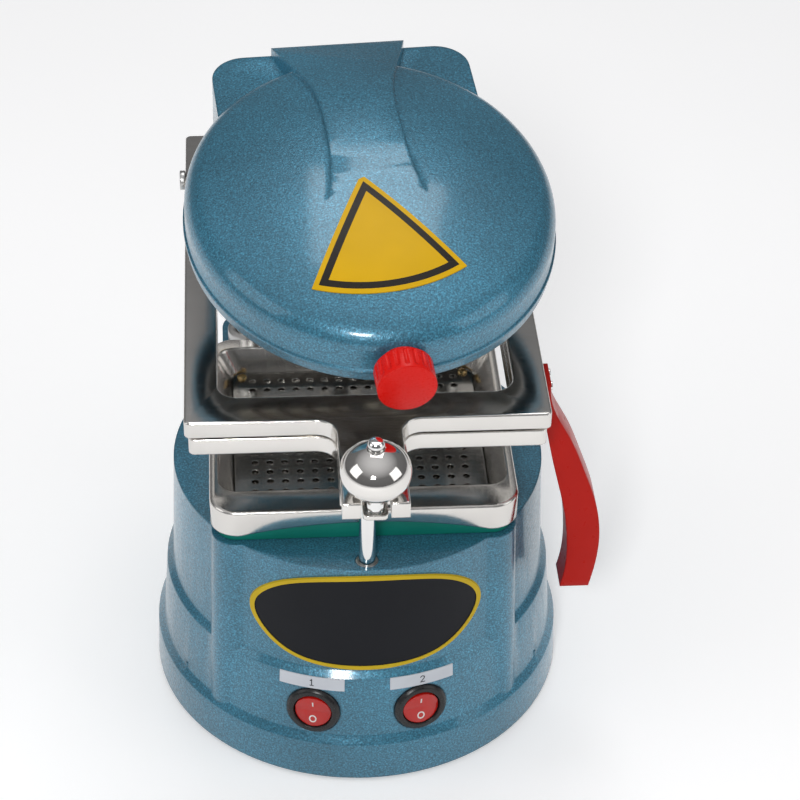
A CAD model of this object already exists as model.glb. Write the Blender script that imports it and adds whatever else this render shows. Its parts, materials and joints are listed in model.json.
import json
import math

import bmesh
import bpy
from mathutils import Matrix, Vector


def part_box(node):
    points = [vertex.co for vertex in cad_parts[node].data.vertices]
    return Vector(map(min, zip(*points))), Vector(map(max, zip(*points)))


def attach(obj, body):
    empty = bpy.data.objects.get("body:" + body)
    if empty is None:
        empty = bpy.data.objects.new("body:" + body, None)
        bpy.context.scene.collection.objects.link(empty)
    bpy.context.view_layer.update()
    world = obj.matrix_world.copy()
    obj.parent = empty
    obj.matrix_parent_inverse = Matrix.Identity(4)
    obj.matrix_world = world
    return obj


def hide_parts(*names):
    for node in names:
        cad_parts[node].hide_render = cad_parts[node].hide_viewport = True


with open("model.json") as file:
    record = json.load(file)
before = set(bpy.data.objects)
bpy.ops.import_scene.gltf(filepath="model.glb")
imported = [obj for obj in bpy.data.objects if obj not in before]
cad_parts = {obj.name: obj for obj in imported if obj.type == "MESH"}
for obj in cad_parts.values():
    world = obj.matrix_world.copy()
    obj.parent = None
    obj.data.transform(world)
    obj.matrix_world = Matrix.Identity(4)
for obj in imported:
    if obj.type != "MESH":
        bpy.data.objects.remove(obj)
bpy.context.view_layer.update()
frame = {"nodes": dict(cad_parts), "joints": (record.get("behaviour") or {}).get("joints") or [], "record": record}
nodes = frame["nodes"]
body_of_node = {n: b for b, members in frame["record"]["behaviour"]["bodies"].items() for n in members}
slot_of_node = {s["node"]: s["material_slot"] for s in frame["record"]["subparts"]}

MM = 0.001

# ---- materials: node helpers -------------------------------------------------
look = {}                 # materials by name


def start(name):
    """New node material with object coordinates; returns what every recipe works on."""
    material = bpy.data.materials.new(name)
    material.use_nodes = True
    look[name] = material
    tree = material.node_tree
    coords = tree.nodes.new("ShaderNodeTexCoord").outputs["Object"]
    return tree, tree.nodes["Principled BSDF"], coords


def noise(tree, coords, scale, detail=3.0, rough=0.55, stretch=None):
    """Noise value, its pattern stretched along an axis if asked."""
    if stretch:
        mapping = tree.nodes.new("ShaderNodeMapping")
        mapping.inputs["Scale"].default_value = stretch
        tree.links.new(coords, mapping.inputs["Vector"])
        coords = mapping.outputs["Vector"]
    tex = tree.nodes.new("ShaderNodeTexNoise")
    tex.inputs["Scale"].default_value = scale
    tex.inputs["Detail"].default_value = detail
    tex.inputs["Roughness"].default_value = rough
    tree.links.new(coords, tex.inputs["Vector"])
    return tex.outputs["Fac"]


def ramp(tree, value, stops):
    """Colour ramp over a value."""
    node = tree.nodes.new("ShaderNodeValToRGB")
    band = node.color_ramp
    while len(band.elements) < len(stops):
        band.elements.new(0.5)
    for element, (place_on_band, colour) in zip(band.elements, stops):
        element.position = place_on_band
        element.color = (*colour, 1.0)
    tree.links.new(value, node.inputs["Fac"])
    return node.outputs["Color"]


def spread(tree, value, low, high):
    """Value remapped from the middle of a noise to low and high."""
    node = tree.nodes.new("ShaderNodeMapRange")
    node.inputs["From Min"].default_value = 0.3
    node.inputs["From Max"].default_value = 0.7
    node.inputs["To Min"].default_value = low
    node.inputs["To Max"].default_value = high
    tree.links.new(value, node.inputs["Value"])
    return node.outputs["Result"]


def calc(tree, operation, *values):
    """Math node over sockets and numbers."""
    node = tree.nodes.new("ShaderNodeMath")
    node.operation = operation
    for value, socket in zip(values, node.inputs):
        if isinstance(value, float):
            socket.default_value = value
        else:
            tree.links.new(value, socket)
    return node.outputs[0]


def rolled(tree, radius):
    """Normals of slightly rolled-over edges."""
    node = tree.nodes.new("ShaderNodeBevel")
    node.samples = 6
    node.inputs["Radius"].default_value = radius
    return node.outputs["Normal"]


def bump(tree, shader, value, distance, strength=0.5, under=None):
    """Bump from a value, in metres, over the normals under it."""
    node = tree.nodes.new("ShaderNodeBump")
    node.inputs["Strength"].default_value = strength
    node.inputs["Distance"].default_value = distance
    tree.links.new(value, node.inputs["Height"])
    if under is not None:
        tree.links.new(under, node.inputs["Normal"])
    tree.links.new(node.outputs["Normal"], shader.inputs["Normal"])
    return node.outputs["Normal"]


def shade(colour, k):
    """Colour made darker or lighter."""
    return tuple(min(1.0, c * k) for c in colour)


def mottle(tree, shader, coords, scale, detail, *stops):
    """Base colour that drifts slowly over the surface."""
    drift = noise(tree, coords, scale, detail, 0.5)
    tree.links.new(ramp(tree, drift, stops), shader.inputs["Base Color"])


# ---- materials: recipes ------------------------------------------------------
def hammertone(name, colour):
    """Hammer-finish enamel: a fine lumpy skin with pale flecks in a darker metallic base."""
    tree, shader, coords = start(name)
    lumps = noise(tree, coords, 620.0, 2.0, 0.5)
    flecks = noise(tree, coords, 1400.0, 2.0, 0.6)
    drift = noise(tree, coords, 14.0, 2.0, 0.5)
    blend = calc(tree, "MULTIPLY_ADD", flecks, 0.72, calc(tree, "MULTIPLY", drift, 0.28))
    stops = [(0.34, shade(colour, 0.54)), (0.47, shade(colour, 0.92)), (0.56, shade(colour, 1.2)),
             (0.68, shade(colour, 2.1))]
    tree.links.new(ramp(tree, blend, stops), shader.inputs["Base Color"])
    tree.links.new(spread(tree, lumps, 0.30, 0.46), shader.inputs["Roughness"])
    dimples = bump(tree, shader, lumps, 0.00030, under=rolled(tree, 0.0016))
    bump(tree, shader, flecks, 0.00012, under=dimples)
    shader.inputs["Metallic"].default_value = 0.35
    shader.inputs["Coat Weight"].default_value = 0.7
    shader.inputs["Coat Roughness"].default_value = 0.12


def metal(name, colour, rough, grain, stretch=None, depth=0.00002, tint=0.9, edge=0.0006):
    """Bare or plated metal with fine finish marks and slight tarnish."""
    tree, shader, coords = start(name)
    marks = noise(tree, coords, grain, 4.0, 0.6, stretch)
    mottle(tree, shader, coords, 26.0, 3.0, (0.35, shade(colour, tint)), (0.6, colour))
    tree.links.new(spread(tree, marks, *rough), shader.inputs["Roughness"])
    bump(tree, shader, marks, depth, under=rolled(tree, edge))
    shader.inputs["Metallic"].default_value = 1.0


def moulded(name, colour, rough, grain=900.0, depth=0.00003, coat=0.0, flow=0.88, edge=0.0006,
            specular=0.4):
    """Moulded plastic or rubber with a fine skin and slow colour drift."""
    tree, shader, coords = start(name)
    skin = noise(tree, coords, grain, 3.0, 0.6)
    mottle(tree, shader, coords, 30.0, 2.0, (0.35, shade(colour, flow)), (0.65, colour))
    tree.links.new(spread(tree, skin, *rough), shader.inputs["Roughness"])
    bump(tree, shader, skin, depth, 0.6, rolled(tree, edge))
    shader.inputs["Specular IOR Level"].default_value = specular
    shader.inputs["Coat Weight"].default_value = coat
    shader.inputs["Coat Roughness"].default_value = 0.12


def printed(name, colour, rough=(0.35, 0.5)):
    """Printed foil or enamel label."""
    tree, shader, coords = start(name)
    fibre = noise(tree, coords, 500.0, 4.0, 0.6)
    mottle(tree, shader, coords, 45.0, 2.0, (0.35, shade(colour, 0.93)), (0.65, colour))
    tree.links.new(spread(tree, fibre, *rough), shader.inputs["Roughness"])
    bump(tree, shader, fibre, 0.00001)
    shader.inputs["Specular IOR Level"].default_value = 0.12


hammertone("hammertone_blue", (0.036, 0.166, 0.252))

metal("bright_aluminium", (0.74, 0.72, 0.69), (0.10, 0.19), 180.0, (1.0, 7.0, 7.0), depth=0.00001,
      tint=0.93, edge=0.0008)
metal("plate_steel", (0.38, 0.37, 0.35), (0.10, 0.18), 200.0, (1.0, 6.0, 6.0), depth=0.00001)
metal("dish_aluminium", (0.72, 0.70, 0.67), (0.14, 0.24), 220.0, (6.0, 1.0, 1.0), depth=0.00001,
      tint=0.93, edge=0.0010)
metal("steel", (0.55, 0.55, 0.54), (0.28, 0.42), 240.0, (7.0, 1.0, 7.0))
metal("chrome", (0.80, 0.80, 0.79), (0.05, 0.11), 150.0, (6.0, 6.0, 1.0), depth=0.000008, tint=0.95)
metal("ball_chrome", (0.78, 0.76, 0.73), (0.04, 0.09), 120.0, depth=0.000006, tint=0.95)
metal("brass", (0.68, 0.48, 0.22), (0.2, 0.34), 300.0)
metal("coil_steel", (0.13, 0.11, 0.10), (0.45, 0.62), 400.0, depth=0.00006, tint=0.7)

moulded("red_plastic", (0.48, 0.008, 0.003), (0.26, 0.36), 260.0, depth=0.00002, flow=0.94,
        edge=0.0010, specular=0.16)
moulded("knob_plastic", (0.76, 0.009, 0.005), (0.24, 0.34), depth=0.00002, flow=0.9, specular=0.2)
moulded("rocker_plastic", (0.50, 0.010, 0.006), (0.12, 0.2), 500.0, depth=0.00001, coat=0.25,
        flow=0.9, edge=0.0005)
moulded("black_plastic", (0.012, 0.012, 0.013), (0.24, 0.36))
moulded("green_rubber", (0.0, 0.20, 0.15), (0.42, 0.58), 1100.0, depth=0.00005)
moulded("dark_rubber", (0.022, 0.022, 0.022), (0.6, 0.78), 1200.0, depth=0.00006)
moulded("ceramic", (0.72, 0.68, 0.58), (0.5, 0.65), depth=0.00005)

printed("badge_dark", (0.011, 0.012, 0.015), (0.36, 0.48))
printed("badge_yellow", (0.60, 0.42, 0.022))
printed("white_label", (0.62, 0.65, 0.70))
printed("sticker_yellow", (0.72, 0.42, 0.002), (0.28, 0.4))
printed("sticker_dark", (0.022, 0.018, 0.014), (0.25, 0.36))
printed("ink", (0.035, 0.037, 0.045))
printed("white_ink", (0.78, 0.76, 0.74))

OWN_LOOK = {"perforated_plate": "plate_steel", "ball_knob": "ball_chrome"}


def look_of(node):
    """Material of a node: its own if it has one, else its slot's."""
    return look[OWN_LOOK.get(node, slot_of_node[node])]


# ---- pieces from the CAD nodes -----------------------------------------------
WELD = 2e-6               # metres; points nearer than this are one
FLAT_WITHIN = 0.6         # degrees; faces meeting flatter than this are one
ROLL_FROM = 30.0          # degrees; edges sharper than this are rolled over
ROLL_STEPS = 2
CREASE_FROM = 40.0        # degrees; edges sharper than this break the shading
OWN_CREASE = {"body_shell": 16.0}     # keeps the shallow lines where tower and round wall meet
SOFTENED = {              # nodes with rolled edges, and the roll's width in millimetres
    "body_shell": 1.1, "head_cover": 0.8, "vacuum_dish": 0.7, "lower_clamp_frame": 0.5,
    "upper_clamp_frame": 0.35, "lift_handle": 1.2, "switch_bezel_left": 0.3, "switch_bezel_right": 0.3,
    "rocker_left": 0.35, "rocker_right": 0.35, "head_knob": 0.3, "post_collars": 0.5,
    "column_flange": 0.5, "power_inlet": 0.4, "rear_vent": 0.3, "rubber_feet": 0.3, "ball_knob": 0.25,
    "knob_end_cap": 0.3, "hinge_screws": 0.4, "dish_gasket": 0.4, "head_arm": 0.5, "reflector_pan": 0.3,
}


def place(obj, body):
    """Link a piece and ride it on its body."""
    bpy.context.scene.collection.objects.link(obj)
    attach(obj, body)
    return obj


def soften(node, width):
    """A node's shape with its sharp edges rolled over, standing for the node."""
    bm = bmesh.new()
    bm.from_mesh(nodes[node].data)
    bmesh.ops.remove_doubles(bm, verts=bm.verts, dist=WELD)
    bmesh.ops.dissolve_limit(bm, angle_limit=math.radians(FLAT_WITHIN), verts=bm.verts, edges=bm.edges)
    mesh = bpy.data.meshes.new(node + "_soft")
    bm.to_mesh(mesh)
    bm.free()
    mesh.materials.append(look_of(node))
    obj = place(bpy.data.objects.new(node + "_soft", mesh), body_of_node[node])
    roll = obj.modifiers.new("edges", "BEVEL")
    roll.width = width * MM
    roll.segments = ROLL_STEPS
    roll.limit_method = "ANGLE"
    roll.angle_limit = math.radians(ROLL_FROM)
    shaped = obj.evaluated_get(bpy.context.evaluated_depsgraph_get())
    rolled_mesh = bpy.data.meshes.new_from_object(shaped)
    obj.modifiers.clear()
    obj.data = rolled_mesh
    rolled_mesh.shade_smooth()
    rolled_mesh.set_sharp_from_angle(angle=math.radians(OWN_CREASE.get(node, CREASE_FROM)))
    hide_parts(node)


for node, width in SOFTENED.items():
    soften(node, width)
for node, obj in nodes.items():
    obj.data.materials.clear()
    obj.data.materials.append(look_of(node))


def strip_mesh(name, rows, material, body):
    """Quad strip through rows of points, printed on a body."""
    bm = bmesh.new()
    grid = [[bm.verts.new(p) for p in row] for row in rows]
    for near, far in zip(grid, grid[1:]):
        for i in range(len(near) - 1):
            bm.faces.new((near[i], near[i + 1], far[i + 1], far[i]))
    mesh = bpy.data.meshes.new(name)
    bm.to_mesh(mesh)
    bm.free()
    mesh.materials.append(look[material])
    place(bpy.data.objects.new(name, mesh), body)


# I and O on the rockers, in millimetres and degrees
SWITCH_ANGLE = 15.4       # either side of the front
WALL_LEAN = -4.57         # the wall leans back from upright
ROCKER_TILT = 4.0         # the rocker leans on the wall at rest
ROCKER_MID = 1.3          # height of the rocker's face at its middle
ROCKER_END = 2.4          # and at its ends
ROCKER_REACH = 7.0        # from the middle to an end
ROCKER_INK = 0.06         # clearance of the marks above the face
BAR_FROM = 2.6            # lower end of the I
BAR_LENGTH = 2.6
BAR_HALF = 0.3
BAR_STEPS = 4
RING_Y = -4.1             # centre of the O
RING_RADII = (1.05, 1.6)
RING_TALL = 1.1           # its height over its width
RING_STEPS = 32


def seat_matrix(angle, radius, z, tilt):
    """Placement on the front wall, its z pointing outwards."""
    turn_z = Matrix.Rotation(math.radians(angle), 4, "Z")
    lie = Matrix.Rotation(math.radians(90.0 + tilt), 4, "X")
    return turn_z @ Matrix.Translation((0, -radius, z)) @ lie


def on_rocker(seat, x, y):
    """Point on a rocker's face, from millimetres across and up it."""
    height = ROCKER_MID + (ROCKER_END - ROCKER_MID) * min(abs(y), ROCKER_REACH) / ROCKER_REACH
    return seat @ (Vector((x, y, height + ROCKER_INK)) * MM)


def rocker_marks(body, seat):
    """I above and O below on one rocker."""
    bar = []
    for step in range(BAR_STEPS + 1):
        y = BAR_FROM + BAR_LENGTH * step / BAR_STEPS
        bar.append([on_rocker(seat, x, y) for x in (-BAR_HALF, BAR_HALF)])
    strip_mesh(body + "_mark_on", bar, "white_ink", body)
    ring = []
    for step in range(RING_STEPS + 1):
        a = 2 * math.pi * step / RING_STEPS
        ring.append([on_rocker(seat, r * math.cos(a), RING_Y + r * math.sin(a) * RING_TALL)
                     for r in RING_RADII])
    strip_mesh(body + "_mark_off", ring, "white_ink", body)


for joint in frame["joints"]:
    if joint["name"].startswith("rocker"):
        x, y, z = joint["pos_m"]
        sign = -1 if joint["child"].endswith("left") else 1
        wall = seat_matrix(sign * SWITCH_ANGLE, math.hypot(x, y), z, WALL_LEAN)
        rocker_marks(joint["child"], wall @ Matrix.Rotation(math.radians(ROCKER_TILT), 4, "X"))

# digits on the label strips, as strokes in millimetres
DIGITS = {
    "left": [[(-0.5, 0.9), (0.1, 1.5), (0.1, -1.5)], [(-0.6, -1.5), (0.8, -1.5)]],
    "right": [[(-0.8, 0.9), (-0.5, 1.4), (0.2, 1.5), (0.8, 1.0), (0.7, 0.3), (-0.8, -1.5), (0.9, -1.5)]],
}
DIGIT_ANGLE = {"left": -16.0, "right": 16.0}      # degrees round the wall
STROKE_HALF = 0.2
STRIP_SLOPE = 0.08        # the strip leans in by this much of its height
STRIP_INK = 0.05          # clearance of the digits in front of the strip


def on_strip(side, u, v):
    """Point on a label strip: u along it and v up it, in millimetres from its middle."""
    low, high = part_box("label_strip_" + side)
    z = (low[2] + high[2]) / 2 + v * MM
    r_foot = max(math.hypot(p.co.x, p.co.y) for p in nodes["label_strip_" + side].data.vertices)
    r = r_foot - (z - low[2]) * STRIP_SLOPE + STRIP_INK * MM
    a = math.radians(DIGIT_ANGLE[side]) + u * MM / r
    return Vector((r * math.sin(a), -r * math.cos(a), z))


def stroke_rows(side, p, q):
    """Rows of points for one straight stroke, run on past both ends by its half width."""
    along = Vector((q[0] - p[0], q[1] - p[1])).normalized() * STROKE_HALF
    across = Vector((-along.y, along.x))
    rows = []
    for t in (0.0, 0.5, 1.0):
        u = p[0] - along.x + (q[0] - p[0] + 2 * along.x) * t
        v = p[1] - along.y + (q[1] - p[1] + 2 * along.y) * t
        rows.append([on_strip(side, u - across.x, v - across.y),
                     on_strip(side, u + across.x, v + across.y)])
    return rows


for side, strokes in DIGITS.items():
    for number, stroke in enumerate(strokes):
        for part, (p, q) in enumerate(zip(stroke, stroke[1:])):
            strip_mesh(f"digit_{side}_{number}_{part}", stroke_rows(side, p, q), "ink", "base")

# ---- floor and light ---------------------------------------------------------
FLOOR_SIZE = 12.0
FLOOR_GLOW = 0.21         # lifts the floor towards white where it is seen, shadows kept
WORLD_STRENGTH = 0.68
WORLD_TONES = ((0.0, 0.20), (0.55, 0.26), (1.0, 1.0))     # height, grey
WORLD_BLUE = 1.02         # a touch more blue than grey
AIM = (0, 0, 0.12)
SOFTBOXES = {             # place, aim, size in metres, power in watts
    "key": ((-0.30, -1.45, 1.25), AIM, 0.30, 13.0),
    "fill": ((1.3, -0.6, 0.8), AIM, 0.9, 3.4),
    "left": ((-1.3, -0.3, 0.9), AIM, 0.9, 3.4),
    "top": ((0.1, 0.7, 1.6), (0, 0, 0.15), 0.7, 5.0),
}


def pale_floor():
    """Near-white floor that metal shows as it is seen."""
    tree, shader, coords = start("pale_floor")
    tones = [(0.3, (0.93, 0.93, 0.93)), (0.7, (0.95, 0.95, 0.95))]
    tree.links.new(ramp(tree, noise(tree, coords, 3.0), tones), shader.inputs["Base Color"])
    shader.inputs["Roughness"].default_value = 0.85
    shader.inputs["Emission Color"].default_value = (1.0, 1.0, 1.0, 1.0)
    rays = tree.nodes.new("ShaderNodeLightPath").outputs
    seen = calc(tree, "ADD", rays["Is Camera Ray"], rays["Is Glossy Ray"])
    seen = calc(tree, "ADD", seen, rays["Is Transmission Ray"])
    tree.links.new(calc(tree, "MULTIPLY", seen, FLOOR_GLOW), shader.inputs["Emission Strength"])


pale_floor()
bpy.ops.mesh.primitive_plane_add(size=FLOOR_SIZE)
floor = bpy.context.object
floor.name = "floor"
floor.data.materials.append(look["pale_floor"])

scene = bpy.context.scene
scene.view_settings.view_transform = "Standard"
scene.world = bpy.data.worlds.new("studio")
scene.world.use_nodes = True
sky_tree = scene.world.node_tree
split = sky_tree.nodes.new("ShaderNodeSeparateXYZ")
sky_tree.links.new(sky_tree.nodes.new("ShaderNodeTexCoord").outputs["Generated"], split.inputs["Vector"])
sky = ramp(sky_tree, split.outputs["Z"], [(h, (k, k, k * WORLD_BLUE)) for h, k in WORLD_TONES])
background = sky_tree.nodes["Background"]
background.inputs["Strength"].default_value = WORLD_STRENGTH
sky_tree.links.new(sky, background.inputs["Color"])


def softbox(name, where, towards, size, power):
    """Large square area light aimed at a point."""
    lamp = bpy.data.lights.new(name, "AREA")
    lamp.shape = "SQUARE"
    lamp.size = size
    lamp.energy = power
    obj = bpy.data.objects.new(name, lamp)
    scene.collection.objects.link(obj)
    obj.location = where
    aim = Vector(towards) - Vector(where)
    obj.rotation_euler = aim.to_track_quat("-Z", "Y").to_euler()


for name, setting in SOFTBOXES.items():
    softbox(name, *setting)

# ---- camera ------------------------------------------------------------------
CAMERA_AT = (-0.04547, -0.80342, 0.74946)
ELEVATION, YAW, ROLL = (math.radians(a) for a in (37.41, 4.47, 1.18))
LENS_PX = 2449.5          # focal length, for an image IMAGE_PX wide
IMAGE_PX = 800
SENSOR_MM = 36.0

lens = bpy.data.cameras.new("photo_camera")
lens.sensor_width = SENSOR_MM
lens.lens = LENS_PX / IMAGE_PX * SENSOR_MM
lens.clip_start = 0.01
camera = bpy.data.objects.new("photo_camera", lens)
scene.collection.objects.link(camera)
ahead = Vector((math.sin(YAW) * math.cos(ELEVATION), math.cos(YAW) * math.cos(ELEVATION),
                -math.sin(ELEVATION)))
right = Vector((math.cos(YAW), -math.sin(YAW), 0))
up = right.cross(ahead)
rolled_right = right * math.cos(ROLL) + up * math.sin(ROLL)
rolled_up = up * math.cos(ROLL) - right * math.sin(ROLL)
turn = Matrix((rolled_right, rolled_up, -ahead)).transposed()
camera.matrix_world = Matrix.Translation(CAMERA_AT) @ turn.to_4x4()
scene.camera = camera
